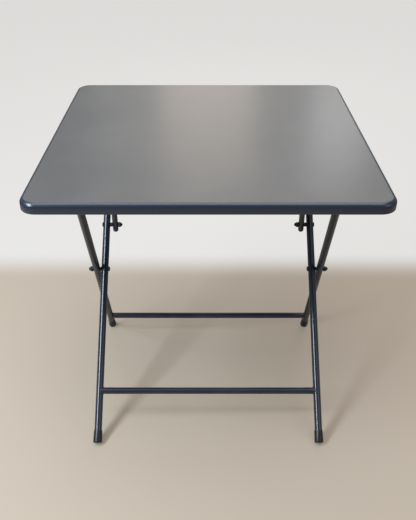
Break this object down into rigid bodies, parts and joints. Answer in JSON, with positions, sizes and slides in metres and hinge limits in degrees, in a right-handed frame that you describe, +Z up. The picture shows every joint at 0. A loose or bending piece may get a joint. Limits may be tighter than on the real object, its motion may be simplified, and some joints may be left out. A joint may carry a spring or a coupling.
{
  "type": "folding card table",
  "caption": "Square folding table: a sheet-steel top on two crossed tube leg frames with stretchers, hung from hinged struts so that it folds flat.",
  "frame": {"origin": "centre of the table's footprint, on the floor", "axes": "+X to the right, +Y from the front edge to the back, +Z up out of the table top"},
  "size_m": [0.8, 0.8, 0.74],
  "materials": {
    "top_paint": "satin powder coat, dark warm grey",
    "frame_paint": "satin powder coat, dark blue grey",
    "moulding": "moulded, fine texture",
    "foot_rubber": "matt moulded rubber",
    "fastener": "black coated steel"
  },
  "bodies": {
    "tabletop": {"top_pan": "top_paint", "front_cross_rail": "frame_paint", "middle_cross_rail": "frame_paint", "back_cross_rail": "frame_paint", "front_pivot_block_left": "moulding", "front_pivot_block_right": "moulding", "rear_pivot_block_left": "moulding", "rear_pivot_block_right": "moulding", "front_block_screws": "fastener", "rear_block_screws": "fastener"},
    "strut_frame": {"strut_left": "frame_paint", "strut_right": "frame_paint", "strut_cross_tube": "frame_paint", "strut_cap_left": "moulding", "strut_cap_right": "moulding", "strut_plug_left": "moulding", "strut_plug_right": "moulding"},
    "inner_leg_frame": {"inner_leg_left": "frame_paint", "inner_leg_right": "frame_paint", "front_stretcher": "frame_paint", "inner_leg_plug_left": "moulding", "inner_leg_plug_right": "moulding", "front_foot_left": "foot_rubber", "front_foot_right": "foot_rubber", "cross_bolt_left": "fastener", "cross_bolt_right": "fastener", "cross_spacer_left": "fastener", "cross_spacer_right": "fastener", "cross_nut_left": "fastener", "cross_nut_right": "fastener", "strut_bolt_left": "fastener", "strut_bolt_right": "fastener", "strut_spacer_left": "fastener", "strut_spacer_right": "fastener", "strut_nut_left": "fastener", "strut_nut_right": "fastener"},
    "outer_leg_frame": {"outer_leg_left": "frame_paint", "outer_leg_right": "frame_paint", "outer_top_bar": "frame_paint", "back_stretcher": "frame_paint", "outer_leg_plug_left": "moulding", "outer_leg_plug_right": "moulding", "back_foot_left": "foot_rubber", "back_foot_right": "foot_rubber"}
  },
  "joints": [
    {"name": "table_fold", "type": "hinge", "parent": "tabletop", "child": "strut_frame", "pos_m": [0, 0.06479, 0.695], "axis": [1, 0, 0], "range_deg": [0, 84.07]},
    {"name": "inner_leg_hinge", "type": "hinge", "parent": "strut_frame", "child": "inner_leg_frame", "pos_m": [0, 0.07497, 0.424], "axis": [1, 0, 0], "range_deg": [-125.04, 0]},
    {"name": "leg_crossing", "type": "hinge", "parent": "inner_leg_frame", "child": "outer_leg_frame", "pos_m": [0, -0.02461, 0.33339], "axis": [1, 0, 0], "range_deg": [0, 101.97]}
  ],
  "couplings": [
    {"joint": "inner_leg_hinge", "follows": "table_fold", "ratio": -1.4871},
    {"joint": "leg_crossing", "follows": "table_fold", "ratio": 1.2127}
  ]
}
